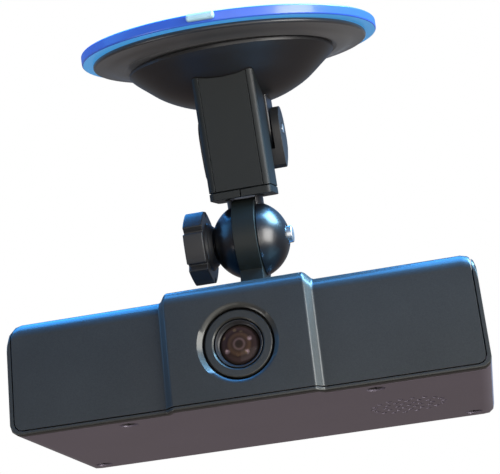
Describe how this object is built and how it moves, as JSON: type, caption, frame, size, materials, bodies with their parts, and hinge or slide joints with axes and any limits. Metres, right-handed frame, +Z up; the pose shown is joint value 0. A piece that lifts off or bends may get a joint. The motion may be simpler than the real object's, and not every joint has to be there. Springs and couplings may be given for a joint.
{
  "type": "dash camera",
  "caption": "Wide flat dash camera with a raised middle round its lens, on a tilting ball head, short arm and lever-locked suction cup.",
  "frame": {"origin": "centre of the outer face of the film over the suction cup, where the windscreen goes", "axes": "+Z up, lens faces -Y, +X to the right seen from in front of the lens; the cup leans forward 16.6 degrees about X"},
  "size_m": [0.12, 0.0868, 0.1298],
  "materials": {
    "case_paint": "satin metallic charcoal paint",
    "case_bottom": "satin dark case",
    "black_plastic": "moulded black",
    "arm_plastic": "fine matte texture",
    "gloss_black": "polished black",
    "cup_rubber": "smooth soft rubber",
    "blue_film": "smooth blue film",
    "steel": "bright plated",
    "brass": "turned",
    "lens_glass": "coated",
    "circuit_board": "green solder mask",
    "chip_black": "moulded",
    "cell_wrap": "shrink wrap",
    "light_guide": "clear"
  },
  "bodies": {
    "mount": {"arm_body": "arm_plastic", "arm_front": "arm_plastic", "clamp_left": "arm_plastic", "clamp_right": "arm_plastic", "hood": "black_plastic", "cup_spring": "steel", "suction_cup": "cup_rubber", "film": "blue_film", "pull_tab": "blue_film"},
    "neck": {"ball_fork": "gloss_black", "neck_clip": "steel", "clamp_bolt": "steel", "bolt_washer": "steel"},
    "knob": {"knob": "black_plastic", "knob_insert": "brass"},
    "rod": {"pull_rod": "steel", "lever_pin": "steel"},
    "lever": {"lever": "black_plastic"},
    "camera": {"front_cover": "case_paint", "housing": "case_paint", "bottom_cover": "case_bottom", "rear_panel": "black_plastic", "case_screw_front_left": "steel", "case_screw_front_right": "steel", "case_screw_rear_left": "steel", "case_screw_rear_right": "steel", "lens_ring": "case_paint", "lens_barrel": "black_plastic", "front_lens": "lens_glass", "rear_lens": "lens_glass", "lens_holder": "black_plastic", "image_sensor": "chip_black", "sensor_board": "circuit_board", "main_board": "circuit_board", "processor": "chip_black", "battery": "cell_wrap", "speaker": "black_plastic", "record_switch": "chip_black", "lock_switch": "chip_black", "status_light": "light_guide", "card_socket": "steel", "power_inlet": "steel", "inlet_contacts": "black_plastic", "foot": "black_plastic", "foot_screw_front_left": "steel", "foot_screw_front_right": "steel", "foot_screw_rear_left": "steel", "foot_screw_rear_right": "steel"},
    "record_button": {"record_button": "black_plastic"},
    "lock_button": {"lock_button": "black_plastic"},
    "card": {"memory_card": "black_plastic"}
  },
  "joints": [
    {"name": "neck_turn", "type": "hinge", "parent": "mount", "child": "neck", "pos_m": [0, 0.00232, -0.0638], "axis": [0, -0.2857, 0.9583], "range_deg": [-90, 90]},
    {"name": "camera_tilt", "type": "hinge", "parent": "neck", "child": "camera", "pos_m": [0, 0.00232, -0.0638], "axis": [1, 0, 0], "range_deg": [-70, 75]},
    {"name": "knob_turn", "type": "hinge", "parent": "neck", "child": "knob", "pos_m": [0, 0.00232, -0.0638], "axis": [-1, 0, 0], "range_deg": [0, 540]},
    {"name": "rod_slide", "type": "slide", "parent": "mount", "child": "rod", "axis": [0, -0.2857, 0.9583], "range_m": [0, 0.0025]},
    {"name": "lever_flip", "type": "hinge", "parent": "rod", "child": "lever", "pos_m": [0, 0.00851, -0.02856], "axis": [1, 0, 0], "range_deg": [0, 75]},
    {"name": "record_press", "type": "slide", "parent": "camera", "child": "record_button", "axis": [0, -1, 0], "range_m": [0, 0.0008], "stiffness_N_per_m": 600},
    {"name": "lock_press", "type": "slide", "parent": "camera", "child": "lock_button", "axis": [0, -1, 0], "range_m": [0, 0.0008], "stiffness_N_per_m": 600},
    {"name": "card_slide", "type": "slide", "parent": "camera", "child": "card", "axis": [0, 1, 0], "range_m": [0, 0.022]}
  ],
  "couplings": [
    {"joint": "lever_flip", "follows": "rod_slide", "rad_per_m": 523}
  ]
}
